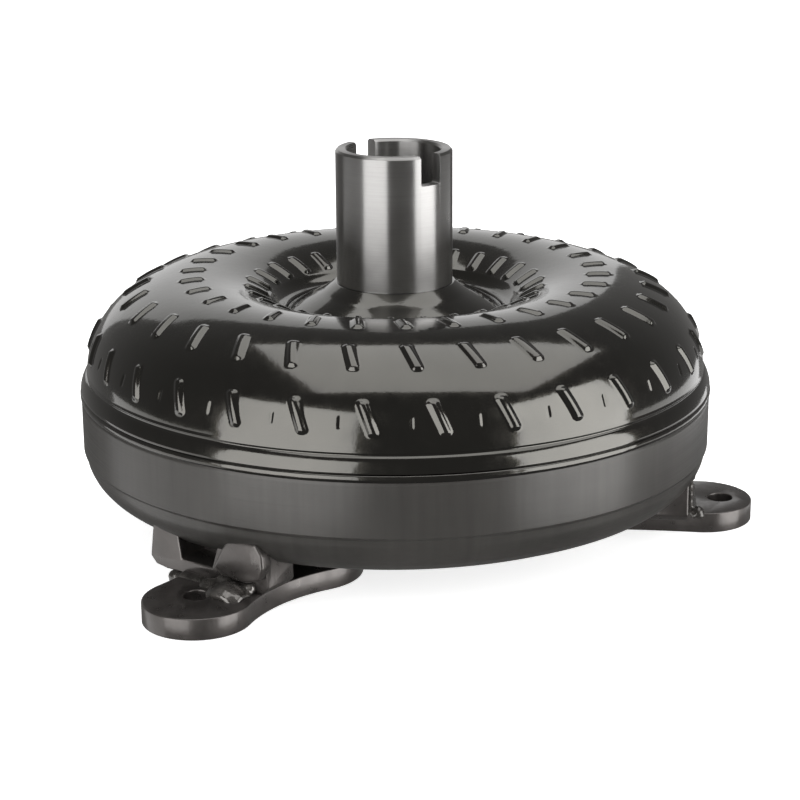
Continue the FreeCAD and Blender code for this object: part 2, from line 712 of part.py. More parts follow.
def bearing_needles(name):
    low, inner, outer = BEARINGS[name]
    mid = low + RACE_THICKNESS + RUNNING_FIT + NEEDLE_RADIUS
    start = FreeCAD.Vector(inner + NEEDLE_MARGIN, 0, mid)
    length = outer - inner - 2 * NEEDLE_MARGIN
    needle = Part.makeCylinder(NEEDLE_RADIUS, length, start, FreeCAD.Vector(1, 0, 0))
    return Part.makeCompound(around(needle, NEEDLE_COUNT))


def bearing_cage(name):
    low, inner, outer = BEARINGS[name]
    mid = low + RACE_THICKNESS + RUNNING_FIT + NEEDLE_RADIUS
    body = tube(inner + 0.8, outer - 0.8, mid - CAGE_THICKNESS / 2, mid + CAGE_THICKNESS / 2)
    corner = FreeCAD.Vector(inner + NEEDLE_MARGIN, -NEEDLE_RADIUS, mid - CAGE_THICKNESS)
    length = outer - inner - 2 * NEEDLE_MARGIN
    pocket = Part.makeBox(length, 2 * NEEDLE_RADIUS, 2 * CAGE_THICKNESS, corner)
    return body.cut(Part.makeCompound(around(pocket, NEEDLE_COUNT)))


# --- the assembly ---------------------------------------------------------------------------------
def all_nodes():
    nodes = {
        "impeller_shell": impeller_shell(),
        "impeller_blades": impeller_blades(),
        "impeller_core_ring": core_ring(CORE_OVAL, IMPELLER_EDGE_Z),
        "pump_hub": pump_hub(),
        "hub_flange": hub_flange(),
        "hub_weld": hub_weld(),
        "front_cover": front_cover(),
        "closure_weld": closure_weld(),
        "crank_pilot": crank_pilot(),
        "pilot_weld": pilot_weld(),
        "anti_balloon_plate": anti_balloon_plate(),
        "turbine_shell": drilled_turbine_shell(),
        "turbine_blades": turbine_blades(),
        "turbine_core_ring": core_ring(TURBINE_CORE, TURBINE_EDGE_Z),
        "turbine_hub": turbine_hub(),
        "turbine_rivets": turbine_rivets(),
        "stator_casting": stator_casting(),
        "stator_cam": stator_cam(),
        "stator_inner_race": stator_inner_race(),
        "stator_front_cap": stator_cap(BEARINGS["middle"][0] + BEARING_HEIGHT, STATOR_Z[0]),
        "stator_rear_cap": stator_cap(STATOR_Z[1], BEARINGS["rear"][0]),
        "clutch_rollers": clutch_rollers(),
        "clutch_springs": clutch_springs(),
    }
    for index in range(MOUNT_COUNT):
        nodes["mount_plate_%d" % (index + 1)] = mount_plate(index)
        nodes["mount_upright_%d" % (index + 1)] = mount_upright(index)
        nodes["mount_weld_%d" % (index + 1)] = mount_weld(index)
    for name in BEARINGS:
        nodes["%s_bearing_lower_race" % name] = bearing_race(name, False)
        nodes["%s_bearing_upper_race" % name] = bearing_race(name, True)
        nodes["%s_bearing_needles" % name] = bearing_needles(name)
        nodes["%s_bearing_cage" % name] = bearing_cage(name)
    return nodes


def main():
    os.makedirs("parts", exist_ok=True)
    for name, shape in all_nodes().items():
        shape.exportStep("parts/%s.step" % name)
        print("%-28s %2d solids %10.1f mm3 %s" % (name, len(shape.Solids), shape.Volume, shape.isValid()))


main()
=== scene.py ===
import json
import math

import bmesh
import bpy
import numpy as np
from mathutils import Matrix, Vector, noise


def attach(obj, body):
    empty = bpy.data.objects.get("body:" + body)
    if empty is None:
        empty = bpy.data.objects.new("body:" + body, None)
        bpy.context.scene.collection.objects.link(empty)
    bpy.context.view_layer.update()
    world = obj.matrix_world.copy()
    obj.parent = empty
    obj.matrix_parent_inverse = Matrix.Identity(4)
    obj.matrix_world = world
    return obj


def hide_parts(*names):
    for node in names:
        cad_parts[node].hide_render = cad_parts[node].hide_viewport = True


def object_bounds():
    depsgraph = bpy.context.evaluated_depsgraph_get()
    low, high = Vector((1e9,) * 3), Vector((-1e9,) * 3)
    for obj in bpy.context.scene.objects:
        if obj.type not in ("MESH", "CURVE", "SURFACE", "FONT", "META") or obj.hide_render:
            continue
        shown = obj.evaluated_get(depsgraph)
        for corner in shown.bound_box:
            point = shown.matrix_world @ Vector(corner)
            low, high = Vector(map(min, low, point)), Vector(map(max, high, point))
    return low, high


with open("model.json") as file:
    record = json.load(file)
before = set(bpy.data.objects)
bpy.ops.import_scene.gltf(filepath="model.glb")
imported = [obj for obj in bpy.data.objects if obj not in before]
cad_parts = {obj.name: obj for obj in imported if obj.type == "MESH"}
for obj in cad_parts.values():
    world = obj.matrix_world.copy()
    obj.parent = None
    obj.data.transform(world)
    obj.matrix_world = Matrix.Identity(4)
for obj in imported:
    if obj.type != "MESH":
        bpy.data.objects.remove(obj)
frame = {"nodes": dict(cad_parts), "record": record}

# Torque converter: dense turned and pressed surfaces in place of the CAD ones that show, and
# procedural materials on everything. The object's lengths are in millimetres, turned into metres where
# meshes are made. An azimuth is in degrees from -Y towards +X.

MM = 0.001
SMOOTH_ANGLE = 32.0
WOBBLE_SCALE = 260.0
cad_low, cad_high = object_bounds()
scene = bpy.context.scene


# --- geometry helpers -----------------------------------------------------------------------------
def polar(radius, azimuth, z):
    angle = math.radians(azimuth)
    return Vector((radius * math.sin(angle), -radius * math.cos(angle), z)) * MM


def turned_by(azimuth):
    """Matrix that turns a shape drawn with its radius along +X, in millimetres, to an azimuth."""
    return Matrix.Rotation(math.radians(azimuth - 90.0), 4, "Z") @ Matrix.Scale(MM, 4)


def softened(corners, steps=4):
    """Points of an outline. A corner is (r, z) or (r, z, size), with size its rounding."""
    points = []
    count = len(corners)
    for index, corner in enumerate(corners):
        here = Vector(corner[:2])
        size = corner[2] if len(corner) > 2 else 0.0
        if size == 0.0 or index in (0, count - 1):
            points.append(here)
            continue
        start = here + (Vector(corners[index - 1][:2]) - here).normalized() * size
        end = here + (Vector(corners[index + 1][:2]) - here).normalized() * size
        for step in range(steps + 1):
            t = step / steps
            points.append(start.lerp(here, t).lerp(here.lerp(end, t), t))
    return [(point.x, point.y) for point in points]


def new_piece(name, mesh, material):
    piece = bpy.data.objects.new(name, mesh)
    scene.collection.objects.link(piece)
    mesh.materials.clear()
    mesh.materials.append(material)
    return piece


def shade(mesh, angle=SMOOTH_ANGLE):
    mesh.shade_smooth()
    mesh.set_sharp_from_angle(angle=math.radians(angle))


def grid_mesh(name, radii, heights, azimuths):
    """Closed surface of rows of points round the axis. radii and heights are (rows, columns) arrays."""
    rows, columns = radii.shape
    angles = np.radians(azimuths)
    points = np.stack((radii * np.sin(angles), -radii * np.cos(angles), heights), axis=-1) * MM
    a, b = np.meshgrid(np.arange(rows), np.arange(columns), indexing="ij")
    a2, b2 = (a + 1) % rows, (b + 1) % columns
    corners = (a * columns + b, a * columns + b2, a2 * columns + b2, a2 * columns + b)
    quads = np.stack(corners, axis=-1)
    mesh = bpy.data.meshes.new(name)
    mesh.from_pydata(points.reshape(-1, 3).tolist(), [], quads.reshape(-1, 4).tolist())
    return mesh


def spun(outline, columns):
    """Azimuths, and the radii and heights of an outline's points at each of them."""
    azimuths = np.arange(columns) * 360.0 / columns
    radii = np.repeat(np.array([[r] for r, z in outline]), columns, axis=1)
    heights = np.repeat(np.array([[z] for r, z in outline]), columns, axis=1)
    return azimuths, radii, heights


def lathe(name, outline, columns=256, wobble=0.0):
    """Turned mesh from (r, z) points, anticlockwise as seen with r to the right."""
    azimuths, radii, heights = spun(outline, columns)
    if wobble:
        for row, (r, z) in enumerate(outline):
            for column, azimuth in enumerate(azimuths):
                radii[row, column] += wobble * noise.noise(polar(r, azimuth, z) * WOBBLE_SCALE)
    mesh = grid_mesh(name, radii, heights, azimuths)
    shade(mesh)
    return mesh


def prism(outline, low, high):
    """bmesh of a closed outline in XY, extruded in Z."""
    bm = bmesh.new()
    base = [bm.verts.new((x, y, low)) for x, y in outline]
    face = bm.faces.new(base)
    top = bmesh.ops.extrude_face_region(bm, geom=[face])
    raised = [v for v in top["geom"] if isinstance(v, bmesh.types.BMVert)]
    bmesh.ops.translate(bm, verts=raised, vec=(0, 0, high - low))
    bmesh.ops.recalc_face_normals(bm, faces=bm.faces)
    return bm


def mesh_of(bm, name, matrix=None):
    if matrix is not None:
        bmesh.ops.transform(bm, matrix=matrix, verts=bm.verts)
    mesh = bpy.data.meshes.new(name)
    bm.to_mesh(mesh)
    bm.free()
    return mesh


def applied(piece, angle=SMOOTH_ANGLE):
    """Applies a piece's modifiers to its mesh."""
    graph = bpy.context.evaluated_depsgraph_get()
    mesh = bpy.data.meshes.new_from_object(piece.evaluated_get(graph))
    piece.modifiers.clear()
    piece.data = mesh
    shade(mesh, angle)


def cut(piece, mesh, operation="DIFFERENCE"):
    """Cuts a mesh out of a piece, or adds it with UNION, and applies that."""
    tool = bpy.data.objects.new("tool", mesh)
    scene.collection.objects.link(tool)
    boolean = piece.modifiers.new("cut", "BOOLEAN")
    boolean.operation = operation
    boolean.solver = "EXACT"
    boolean.object = tool
    applied(piece)
    bpy.data.objects.remove(tool)


def bevelled(piece, width, segments=3, angle=SMOOTH_ANGLE):
    bevel = piece.modifiers.new("bevel", "BEVEL")
    bevel.width = width * MM
    bevel.segments = segments
    bevel.limit_method = "ANGLE"
    bevel.angle_limit = math.radians(angle)
    applied(piece, angle)


# --- materials ------------------------------------------------------------------------------------
class Nodes:
    """Builds one procedural material round a Principled shader."""

    def __init__(self, name):
        self.material = bpy.data.materials.new(name)
        self.material.use_nodes = True
        self.tree = self.material.node_tree
        self.shader = self.tree.nodes["Principled BSDF"]
        self.where = self.add("ShaderNodeTexCoord").outputs["Object"]

    def add(self, kind, **values):
        node = self.tree.nodes.new(kind)
        for key, value in values.items():
            setattr(node, key, value)
        return node

    def link(self, source, target):
        self.tree.links.new(source, target)

    def set(self, **values):
        for key, value in values.items():
            self.shader.inputs[key.replace("_", " ")].default_value = value

    def stretched(self, scale):
        mapping = self.add("ShaderNodeMapping")
        mapping.inputs["Scale"].default_value = scale
        self.link(self.where, mapping.inputs["Vector"])
        return mapping.outputs["Vector"]

    def round_axis(self, scale_around, scale_up):
        """Coordinates (angle, radius, height), for marks that run round the axis."""
        split = self.add("ShaderNodeSeparateXYZ")
        self.link(self.where, split.inputs[0])
        length = self.add("ShaderNodeVectorMath", operation="LENGTH")
        flat = self.add("ShaderNodeCombineXYZ")
        self.link(split.outputs["X"], flat.inputs["X"])
        self.link(split.outputs["Y"], flat.inputs["Y"])
        self.link(flat.outputs[0], length.inputs[0])
        angle = self.add("ShaderNodeMath", operation="ARCTAN2")
        self.link(split.outputs["Y"], angle.inputs[0])
        self.link(split.outputs["X"], angle.inputs[1])
        joined = self.add("ShaderNodeCombineXYZ")
        for source, target, factor in (
            (angle.outputs[0], "X", scale_around),
            (length.outputs["Value"], "Y", scale_up),
            (split.outputs["Z"], "Z", scale_up),
        ):
            times = self.add("ShaderNodeMath", operation="MULTIPLY")
            times.inputs[1].default_value = factor
            self.link(source, times.inputs[0])
            self.link(times.outputs[0], joined.inputs[target])
        return joined.outputs[0]

    def noise(self, scale, detail=3.0, vector=None, roughness=0.5):
        node = self.add("ShaderNodeTexNoise")
        node.inputs["Scale"].default_value = scale
        node.inputs["Detail"].default_value = detail
        node.inputs["Roughness"].default_value = roughness
        self.link(vector or self.where, node.inputs["Vector"])
        return node.outputs["Fac"]

    def ramp(self, source, *stops):
        """Colours or values at positions; a number stands for a grey."""
        node = self.add("ShaderNodeValToRGB")
        elements = node.color_ramp.elements
        while len(elements) < len(stops):
            elements.new(0.5)
        for element, (position, colour) in zip(elements, stops):
            element.position = position
            grey = isinstance(colour, (int, float))
            element.color = (colour,) * 3 + (1,) if grey else tuple(colour) + (1,)
        self.link(source, node.inputs["Fac"])
        return node.outputs["Color"]

    def bump(self, source, strength, distance, under=None):
        node = self.add("ShaderNodeBump")
        node.inputs["Strength"].default_value = strength
        node.inputs["Distance"].default_value = distance
        self.link(source, node.inputs["Height"])
        if under:
            self.link(under, node.inputs["Normal"])
        return node.outputs["Normal"]

    def colour(self, source):
        self.link(source, self.shader.inputs["Base Color"])

    def roughness(self, source):
        self.link(source, self.shader.inputs["Roughness"])

    def normal(self, source, coat=False):
        self.link(source, self.shader.inputs["Normal"])
        if coat:
            self.link(source, self.shader.inputs["Coat Normal"])


def gloss_coating(name, dark, light, base_roughness):
    """Deep gloss coating: slow colour drift, orange peel and fine grain under a clear coat."""
    n = Nodes(name)
    n.set(Metallic=1.0, Coat_Weight=1.0, Coat_Roughness=0.035, Coat_IOR=1.5)
    n.colour(n.ramp(n.noise(38.0, 4.0), (0.3, dark), (0.7, light)))
    low, high = base_roughness - 0.03, base_roughness + 0.05
    n.roughness(n.ramp(n.noise(160.0, 3.0), (0.3, low), (0.7, high)))
    peel = n.bump(n.noise(420.0, 2.0), 0.05, 0.0004)
    n.normal(n.bump(n.noise(3200.0, 2.0), 0.05, 0.0001, peel), coat=True)
    return n.material


def satin_coating(name, dark, light, base_roughness, marks):
    """Satin coating over a turned wall, with the tool marks telegraphing through."""
    n = Nodes(name)
    n.set(Metallic=0.62, Coat_Weight=0.35, Coat_Roughness=0.22, Coat_IOR=1.5)
    rings = n.noise(1.0, 3.0, n.round_axis(1.2, marks))
    streaks = n.noise(1.0, 4.0, n.round_axis(42.0, 18.0))
    mixed = n.add("ShaderNodeMath", operation="MULTIPLY_ADD")
    n.link(streaks, mixed.inputs[0])
    mixed.inputs[1].default_value = 0.55
    n.link(n.noise(26.0, 4.0), mixed.inputs[2])
    n.colour(n.ramp(mixed.outputs[0], (0.55, dark), (1.0, light)))
    n.roughness(n.ramp(rings, (0.3, base_roughness - 0.05), (0.7, base_roughness + 0.06)))
    grooves = n.bump(rings, 0.16, 0.00012)
    n.normal(n.bump(n.noise(1500.0, 2.0), 0.10, 0.00008, grooves), coat=True)
    return n.material


def plate_coating(name, dark, light):
    """Semi-gloss black over sawn and rolled plate: fine saw lines on the edges, a rubbed look."""
    n = Nodes(name)
    n.set(Metallic=0.85, Coat_Weight=0.45, Coat_Roughness=0.14, Coat_IOR=1.5)
    lines = n.noise(1.0, 3.0, n.stretched((900.0, 900.0, 35.0)))
    n.colour(n.ramp(n.noise(70.0, 5.0), (0.35, dark), (0.7, light)))
    n.roughness(n.ramp(n.noise(210.0, 4.0), (0.3, 0.26), (0.72, 0.42)))
    sawn = n.bump(lines, 0.22, 0.00012)
    n.normal(n.bump(n.noise(900.0, 3.0), 0.16, 0.00012, sawn), coat=True)
    return n.material


def bead_coating(name):
    """Weld bead under the coating: glossier and lumpier, with ripples."""
    n = Nodes(name)
    n.set(Metallic=0.75, Coat_Weight=0.9, Coat_Roughness=0.08, Coat_IOR=1.5)
    n.colour(n.ramp(n.noise(160.0, 4.0), (0.35, (0.05, 0.046, 0.042)), (0.7, (0.16, 0.15, 0.14))))
    n.roughness(n.ramp(n.noise(300.0, 3.0), (0.3, 0.22), (0.7, 0.36)))
    n.normal(n.bump(n.noise(420.0, 2.0), 0.08, 0.0003), coat=True)
    return n.material


def ground_steel(name, base, drift, rough, marks, strength):
    """Ground or turned steel: fine rings round the axis, faint smudges, stretched highlights."""
    n = Nodes(name)
    n.set(Metallic=1.0, Anisotropic=0.95, Anisotropic_Rotation=0.25)
    tangent = n.add("ShaderNodeTangent", direction_type="RADIAL", axis="Z")
    n.link(tangent.outputs[0], n.shader.inputs["Tangent"])
    rings = n.noise(1.0, 4.0, n.round_axis(0.9, marks))
    smudge = n.noise(55.0, 4.0)
    mixed = n.add("ShaderNodeMath", operation="MULTIPLY_ADD")
    n.link(rings, mixed.inputs[0])
    mixed.inputs[1].default_value = 0.6
    n.link(smudge, mixed.inputs[2])
    n.colour(n.ramp(mixed.outputs[0], (0.55, base), (1.05, drift)))
    n.roughness(n.ramp(mixed.outputs[0], (0.5, rough), (1.1, rough + 0.1)))
    n.normal(n.bump(rings, strength, 0.00006))
    return n.material


def plain_metal(name, dark, light, rough, grain):
    """Pressed, cast or rolled metal with mottled colour and a fine surface grain."""
    n = Nodes(name)
    n.set(Metallic=1.0)
    n.colour(n.ramp(n.noise(90.0, 5.0), (0.35, dark), (0.7, light)))
    n.roughness(n.ramp(n.noise(260.0, 4.0), (0.3, rough), (0.7, rough + 0.15)))
    n.normal(n.bump(n.noise(grain, 3.0), 0.25, 0.0001))
    return n.material


shell_gloss = gloss_coating("shell_gloss", (0.052, 0.050, 0.043), (0.066, 0.063, 0.055), 0.14)
seam_gloss = gloss_coating("seam_gloss", (0.052, 0.050, 0.044), (0.070, 0.066, 0.058), 0.18)
cover_satin = satin_coating(
    "cover_satin", dark=(0.042, 0.040, 0.037), light=(0.058, 0.055, 0.051), base_roughness=0.40,
    marks=2600.0)
mount_black = plate_coating("mount_black", (0.080, 0.073, 0.069), (0.112, 0.103, 0.098))
weld_bead = bead_coating("weld_bead")
hub_polish = ground_steel(
    "hub_polish", base=(0.29, 0.284, 0.278), drift=(0.37, 0.364, 0.358), rough=0.27, marks=5200.0,
    strength=0.05)
turned_steel = ground_steel(
    "turned_steel", base=(0.38, 0.37, 0.36), drift=(0.5, 0.49, 0.48), rough=0.26, marks=2400.0,
    strength=0.3)
pressed_steel = plain_metal(
    "pressed_steel", dark=(0.24, 0.23, 0.21), light=(0.36, 0.35, 0.33), rough=0.30, grain=1400.0)
cast_aluminium = plain_metal(
    "cast_aluminium", dark=(0.50, 0.50, 0.50), light=(0.62, 0.62, 0.62), rough=0.42, grain=2200.0)
bearing_steel = plain_metal(
    "bearing_steel", dark=(0.48, 0.48, 0.48), light=(0.58, 0.58, 0.58), rough=0.16, grain=3000.0)

SLOT_MATERIALS = {
    "shell_coating": shell_gloss,
    "seam_coating": seam_gloss,
    "cover_coating": cover_satin,
    "hub_steel": hub_polish,
    "mount_coating": mount_black,
    "mount_weld_bead": weld_bead,
    "machined_steel": turned_steel,
    "pressed_steel": pressed_steel,
    "stator_aluminium": cast_aluminium,
    "bearing_steel": bearing_steel,
}
for part in frame["record"]["subparts"]:
    node = frame["nodes"][part["node"]]
    node.data.materials.clear()
    node.data.materials.append(SLOT_MATERIALS[part["material_slot"]])


def stands_for(piece, slot, *nodes):
    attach(piece, "case")
    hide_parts(*nodes)


# --- impeller shell -------------------------------------------------------------------------------
# The section is an oval of three arcs: two ends and a flatter crest that meets them at JOIN_ANGLE. A
# normal angle is 0 at its widest point, 90 at the crest, and FOOT_ANGLE where it meets the valley.
OVAL_CENTRE = (81.7, 66.5)
HALF_WIDTH, HALF_HEIGHT, END_RADIUS = 45.6, 38.3, 34.5
END_OFFSET = HALF_WIDTH - END_RADIUS
CREST_RADIUS = (END_OFFSET**2 + HALF_HEIGHT**2 - END_RADIUS**2) / (2 * (HALF_HEIGHT - END_RADIUS))
JOIN_ANGLE = math.degrees(math.atan2(CREST_RADIUS - HALF_HEIGHT, END_OFFSET))
RIM_ANGLE, FOOT_ANGLE = 4.6, 125.5
SHELL_WALL = 3.2
ROW_STEP = 0.46
COLUMNS_PER_BLADE = 54
DRIFT_FADE = 8.0
BLADE_COUNT = 30
PITCH = 360.0 / BLADE_COUNT
# (normal angle at each end, azimuth at each end, half width, height) of one tab in each ring
TAB_ROWS = (
    ((35.2, 11.7), (6.5, 8.4), 2.4, 1.2),
    ((69.1, 53.4), (2.5, 4.3), 2.6, 1.2),
    ((94.3, 81.7), (1.7, 2.9), 2.4, 1.1),
    ((111.4, 125.0), (-1.5, -2.5), 2.4, 1.2),
)
# a tab's flat top stops this far from its end, and its flank is this wide and ends this far outside it
TAB_END, TAB_FLANK, TAB_TOE = 2.0, 2.2, 0.3
# normal angle at each end and azimuth of the short tick pressed in between the outermost tabs
TICKS = (23.5, 18.0, 2.8)
TICK_DEPTH, TICK_WIDTH = 0.36, 0.6


def oval_point(angle, offset=0.0):
    if angle < JOIN_ANGLE:
        across, up, radius = OVAL_CENTRE[0] + END_OFFSET, 0.0, END_RADIUS
    elif angle > 180 - JOIN_ANGLE:
        across, up, radius = OVAL_CENTRE[0] - END_OFFSET, 0.0, END_RADIUS
    else:
        across, up, radius = OVAL_CENTRE[0], HALF_HEIGHT - CREST_RADIUS, CREST_RADIUS
    turn = math.radians(angle)
    reach = radius + offset
    return across + reach * math.cos(turn), OVAL_CENTRE[1] + up + reach * math.sin(turn)


def oval_run(first, last, step, offset=0.0):
    """Normal angles whose points lie about step apart along the oval."""
    angles = [first]
    while (last - angles[-1]) * (last - first) > 0:
        radius = CREST_RADIUS if JOIN_ANGLE < angles[-1] < 180 - JOIN_ANGLE else END_RADIUS
        turn = math.degrees(step / (radius + offset))
        angles.append(angles[-1] + math.copysign(turn, last - first))
    angles[-1] = last
    return angles


def arc_length(angle):
    """Distance along the oval from its widest point."""
    end = math.radians(min(angle, JOIN_ANGLE)) * END_RADIUS
    crest = math.radians(min(max(angle, JOIN_ANGLE), 180 - JOIN_ANGLE) - JOIN_ANGLE) * CREST_RADIUS
    inner = math.radians(max(angle, 180 - JOIN_ANGLE) - 180 + JOIN_ANGLE) * END_RADIUS
    return end + crest + inner


def from_segment(lengths, radii, azimuths, start, end, core=0.0):
    """Distance in millimetres of surface points from a bar that runs between two (length, azimuth)
    points and is core wide to each side."""
    (s1, a1), (s2, a2) = start, end
    share = np.clip((lengths - s1) / (s2 - s1), 0, 1)
    off = azimuths - (a1 + (a2 - a1) * share)
    off = (off + PITCH / 2) % PITCH - PITCH / 2
    lean = math.cos(math.atan2(math.radians(a2 - a1) * float(radii.mean()), s2 - s1))
    across = np.maximum(np.abs(np.radians(off) * radii * lean) - core, 0)
    return np.hypot(lengths - (s1 + (s2 - s1) * share), across)


def embossing(angles, radii, azimuths):
    """Height of the shell's tabs and ticks above its oval."""
    lengths = np.array([[arc_length(angle)] for angle in angles])
    height = np.zeros(radii.shape)
    for ends, turns, half_width, rise in TAB_ROWS:
        first, last = arc_length(ends[0]), arc_length(ends[1])
        inset = math.copysign(TAB_END, last - first)
        line = (first + inset, turns[0]), (last - inset, turns[1])
        distance = from_segment(lengths, radii, azimuths, *line, half_width - TAB_FLANK + TAB_TOE)
        share = np.clip(distance / TAB_FLANK, 0, 1)
        height = np.maximum(height, rise * (1 - share * share * (3 - 2 * share)))
    low, high, turn = TICKS
    line = (arc_length(low), turn), (arc_length(high), turn)
    distance = from_segment(lengths, radii, azimuths, *line)
    return height - TICK_DEPTH * np.exp(-((distance / TICK_WIDTH) ** 2))


def unevenness(points, azimuths):
    """Slow waves of a pressed sheet at (r, z) points of its section."""
    drift = np.zeros((len(points), len(azimuths)))
    for row, (r, z) in enumerate(points):
        for column, azimuth in enumerate(azimuths):
            spot = polar(r, azimuth, z)
            drift[row, column] = noise.noise(spot * 55.0) * 0.05 + noise.noise(spot * 170.0) * 0.008
    return drift


def impeller_shell():
    lip = softened([
        (125.0, 60.45), (129.75, 60.45, 0.3), (130.1, 60.95, 0.3), (130.08, 61.7, 0.4),
        (129.55, 63.6, 0.8), (128.75, 65.4, 0.8), (128.0, 66.45, 0.35), (127.25, 66.95, 0.25),
        (127.3, 67.6, 0.3), (127.5, 68.0, 0.2), oval_point(RIM_ANGLE - 0.4)])
    run = oval_run(RIM_ANGLE, FOOT_ANGLE, ROW_STEP)
    foot = oval_point(FOOT_ANGLE)
    valley = softened([
        foot, (foot[0] - 1.2, foot[1] - 1.7, 0.9), (foot[0] - 3.4, 91.1, 1.6), (45.6, 90.7, 0.5),
        (44.9, 90.2, 0.3), (44.6, 88.2)])[1:]
    inside = [(44.6, 87.4), (oval_point(FOOT_ANGLE, -SHELL_WALL)[0] - 0.8, 87.4)]
    for angle in oval_run(FOOT_ANGLE, 0.0, 5.0, -SHELL_WALL):
        inside.append(oval_point(angle, -SHELL_WALL))
    inside += [(123.6, 61.4), (123.6, 52.5), (125.0, 52.5)]
    pressed = [oval_point(angle) for angle in run]
    azimuths, radii, heights = spun(lip + pressed + valley + inside, BLADE_COUNT * COLUMNS_PER_BLADE)
    rows = slice(len(lip), len(lip) + len(run))
    angles = np.array(run)[:, None]
    fade = np.clip((angles - RIM_ANGLE) / DRIFT_FADE, 0, 1)
    fade = fade * np.clip((FOOT_ANGLE - angles) / DRIFT_FADE, 0, 1)
    lift = embossing(run, radii[rows], azimuths) + unevenness(pressed, azimuths) * fade
    radii[rows] += lift * np.cos(np.radians(angles))
    heights[rows] += lift * np.sin(np.radians(angles))
    mesh = grid_mesh("impeller_shell_pressed", radii, heights, azimuths)
    shade(mesh, 50.0)
    piece = new_piece("impeller_shell_pressed", mesh, shell_gloss)
    stands_for(piece, "shell_coating", "impeller_shell")


impeller_shell()


# --- front cover, seam and hub --------------------------------------------------------------------
def turned(name, corners, material, slot, node, columns, wobble=0.0):
    """Turned piece from a closed ring of corners, in place of a CAD node."""
    mesh = lathe(name, softened(corners + corners[:1])[:-1], columns, wobble)
    stands_for(new_piece(name, mesh, material), slot, node)


COVER_UNDERSIDE = [
    (129.95, 35.9, 0.35), (129.1, 34.9, 0.5), (128.6, 31.2, 1.5), (126.7, 26.9, 2.0),
    (123.6, 23.2, 2.0), (119.7, 20.4, 0.8), (112.0, 17.0, 1.2), (88.0, 17.0, 1.2), (82.0, 8.4, 0.8)]
turned("front_cover_turned", [
    (125.6, 60.3), (127.6, 60.3, 0.2), (129.4, 58.0, 0.6), (130.0, 56.6, 0.5), *COVER_UNDERSIDE,
    (28.0, 8.4), (28.0, 13.2), (77.0, 13.2, 0.5), (83.0, 21.8, 0.8), (110.5, 21.8, 2.0),
    (122.0, 30.2, 3.0), (125.6, 38.7, 1.0)], cover_satin, "cover_coating", "front_cover", 320)
turned("closure_bead", [
    (127.4, 60.3), (127.4, 59.6), (129.5, 57.2, 0.3), (130.25, 57.9, 0.5), (130.42, 58.9, 0.5),
    (130.2, 59.9, 0.4), (129.6, 60.4, 0.2)], seam_gloss, "seam_coating", "closure_weld", 720, 0.06)
turned("hub_collar", [
    (23.05, 86.0), (43.4, 86.0, 0.3), (43.4, 90.6, 0.4), (30.2, 97.4, 1.6), (24.6, 101.5, 0.25),
    (23.05, 101.5)], shell_gloss, "shell_coating", "hub_flange", 256)
turned("hub_weld_ring", [
    (43.4, 87.4), (44.6, 87.4), (44.6, 89.6, 0.3), (44.0, 90.0, 0.3), (43.4, 89.6)],
    shell_gloss, "shell_coating", "hub_weld", 256)
turned("crank_pilot_turned", [
    (0.05, 1.0), (20.6, 1.0, 0.4), (21.63, 2.0, 0.4), (21.63, 8.4, 0.2), (28.0, 8.4), (28.0, 13.2),
    (34.0, 13.2, 0.4), (34.0, 19.0, 0.4), (14.5, 19.0, 0.4), (14.5, 6.0, 0.4), (0.05, 6.0)],
    turned_steel, "machined_steel", "crank_pilot", 160)
turned("pilot_bead", [
    (26.6, 8.4), (27.3, 7.3, 0.3), (28.0, 7.02, 0.3), (28.7, 7.3, 0.3), (29.4, 8.4)],
    weld_bead, "mount_weld_bead", "pilot_weld", 240, 0.12)


SLOT_AZIMUTH, SLOT_HALF_WIDTH, SLOT_DEPTH, SLOT_CORNER = 39.0, 4.9, 12.0, 0.9


def pump_hub():
    radius, spigot, bore, low, shoulder, high = 23.8125, 23.0, 19.05, 86.0, 101.5, 156.5
    outline = [
        (bore, low), (spigot, low), (spigot, shoulder), (radius, shoulder), (radius, high - 1.0),
        (radius - 0.85, high), (bore + 0.85, high), (bore, high - 0.9)]
    piece = new_piece("pump_hub_ground", lathe("pump_hub_ground", outline, 240), hub_polish)
    above, floor = high + 2.0, high - SLOT_DEPTH
    slot = prism(softened([
        (-SLOT_HALF_WIDTH, above), (-SLOT_HALF_WIDTH, floor, SLOT_CORNER),
        (SLOT_HALF_WIDTH, floor, SLOT_CORNER), (SLOT_HALF_WIDTH, above)]), -40.0, 40.0)
    across = Matrix.Rotation(math.radians(90.0), 4, "Z") @ Matrix.Rotation(math.radians(90.0), 4, "X")
    cut(piece, mesh_of(slot, "slot", turned_by(SLOT_AZIMUTH) @ across))
    bevelled(piece, 0.28, 3, 30.0)
    stands_for(piece, "hub_steel", "pump_hub")


pump_hub()


# --- flexplate mounts -----------------------------------------------------------------------------
# azimuths of the first bolt hole and of the first upright; the others are 120 degrees on
MOUNT_AZIMUTH, UPRIGHT_AZIMUTH = -33.2, -36.0
# radius and extra azimuth of each plate's outer lobe
MOUNT_LOBES = ((139.0, 0.9), (128.6, 0.0), (133.5, 0.4))
BOLT_CIRCLE_RADIUS, BOLT_HOLE_RADIUS = 136.525, 5.16
PLATE, PLATE_LEAN = 8.4, 4.6
OUTER_LOBE, INNER_LOBE, LOBE_SPACING = 21.0, 24.0, 62.2
# radius of the hollow between the lobes, on the leading and the trailing side
HOLLOWS = (62.5, 400.0)
UPRIGHT_FACE, UPRIGHT_BACK = 122.3, 107.0


def arc_points(centre, radius, first, last, step=3.0):
    count = max(2, int(abs(last - first) / step))
    angles = [math.radians(first + (last - first) * index / count) for index in range(count)]
    return [(centre[0] + radius * math.cos(a), centre[1] + radius * math.sin(a)) for a in angles]


